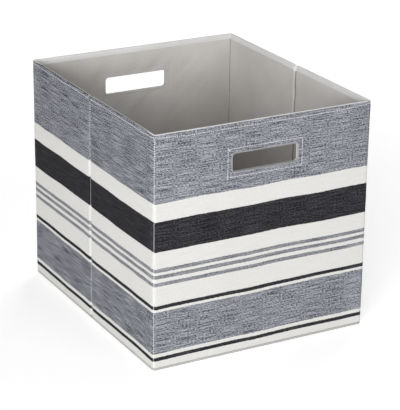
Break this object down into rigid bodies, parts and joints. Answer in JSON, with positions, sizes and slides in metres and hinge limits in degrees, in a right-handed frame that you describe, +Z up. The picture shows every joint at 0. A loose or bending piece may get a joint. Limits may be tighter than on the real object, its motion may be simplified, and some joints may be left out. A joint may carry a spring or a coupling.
{
  "type": "folding fabric storage bin",
  "caption": "Open-top square-sided fabric bin with striped cloth over stiff boards, hand holes front and back, creased sides that fold flat and a lift-out bottom.",
  "frame": {"origin": "on the floor under the middle of the bin's footprint", "axes": "+Z up, +X towards the right side wall, +Y towards the back wall with a hand hole; the front wall faces -Y"},
  "size_m": [0.33, 0.381, 0.33],
  "materials": {
    "striped_cloth": "woven chambray with woven stripes",
    "hem_cloth": "woven chambray, turned and stitched",
    "lining_cloth": "non-woven, matte",
    "seam_thread": "rolled seam with light thread",
    "base_cloth": "non-woven, matte",
    "chipboard": "grey-brown chipboard"
  },
  "bodies": {
    "back_wall": {"back_outer_cloth": "striped_cloth", "back_board": "chipboard", "back_lining": "lining_cloth", "back_rim_hem": "hem_cloth", "back_handle_facing": "hem_cloth", "rear_left_corner_seam": "seam_thread", "rear_right_corner_seam": "seam_thread", "base_cloth": "base_cloth", "base_seam_back": "base_cloth", "base_seam_front": "base_cloth", "base_seam_left": "base_cloth", "base_seam_right": "base_cloth"},
    "left_rear": {"left_rear_outer_cloth": "striped_cloth", "left_rear_board": "chipboard", "left_rear_lining": "lining_cloth", "left_rear_rim_hem": "hem_cloth"},
    "left_front": {"left_front_outer_cloth": "striped_cloth", "left_front_board": "chipboard", "left_front_lining": "lining_cloth", "left_front_rim_hem": "hem_cloth"},
    "right_rear": {"right_rear_outer_cloth": "striped_cloth", "right_rear_board": "chipboard", "right_rear_lining": "lining_cloth", "right_rear_rim_hem": "hem_cloth"},
    "right_front": {"right_front_outer_cloth": "striped_cloth", "right_front_board": "chipboard", "right_front_lining": "lining_cloth", "right_front_rim_hem": "hem_cloth"},
    "front_wall": {"front_outer_cloth": "striped_cloth", "front_board": "chipboard", "front_lining": "lining_cloth", "front_rim_hem": "hem_cloth", "front_handle_facing": "hem_cloth", "front_left_corner_seam": "seam_thread", "front_right_corner_seam": "seam_thread"},
    "insert": {"insert_board": "chipboard", "insert_cover": "lining_cloth"}
  },
  "joints": [
    {"name": "left_rear_fold", "type": "hinge", "parent": "back_wall", "child": "left_rear", "pos_m": [-0.162, 0.1845, 0.165], "axis": [0, 0, 1], "range_deg": [0, 88], "deforming": ["base_cloth", "base_seam_front", "base_seam_left", "base_seam_right"]},
    {"name": "left_crease_fold", "type": "hinge", "parent": "left_rear", "child": "left_front", "pos_m": [-0.165, 0, 0.165], "axis": [0, 0, 1], "range_deg": [-168, 0]},
    {"name": "front_left_fold", "type": "hinge", "parent": "left_front", "child": "front_wall", "pos_m": [-0.162, -0.1845, 0.165], "axis": [0, 0, 1], "range_deg": [0, 80]},
    {"name": "right_rear_fold", "type": "hinge", "parent": "back_wall", "child": "right_rear", "pos_m": [0.162, 0.1845, 0.165], "axis": [0, 0, 1], "range_deg": [-80, 0]},
    {"name": "right_crease_fold", "type": "hinge", "parent": "right_rear", "child": "right_front", "pos_m": [0.165, 0, 0.165], "axis": [0, 0, 1], "range_deg": [0, 168]},
    {"name": "insert_lift", "type": "slide", "parent": "back_wall", "child": "insert", "axis": [0, 0, 1], "range_m": [0, 0.36]}
  ],
  "couplings": [
    {"joint": "left_crease_fold", "follows": "left_rear_fold", "ratio": -1.9},
    {"joint": "front_left_fold", "follows": "left_rear_fold", "ratio": 0.9},
    {"joint": "right_rear_fold", "follows": "left_rear_fold", "ratio": -0.9},
    {"joint": "right_crease_fold", "follows": "left_rear_fold", "ratio": 1.9}
  ]
}
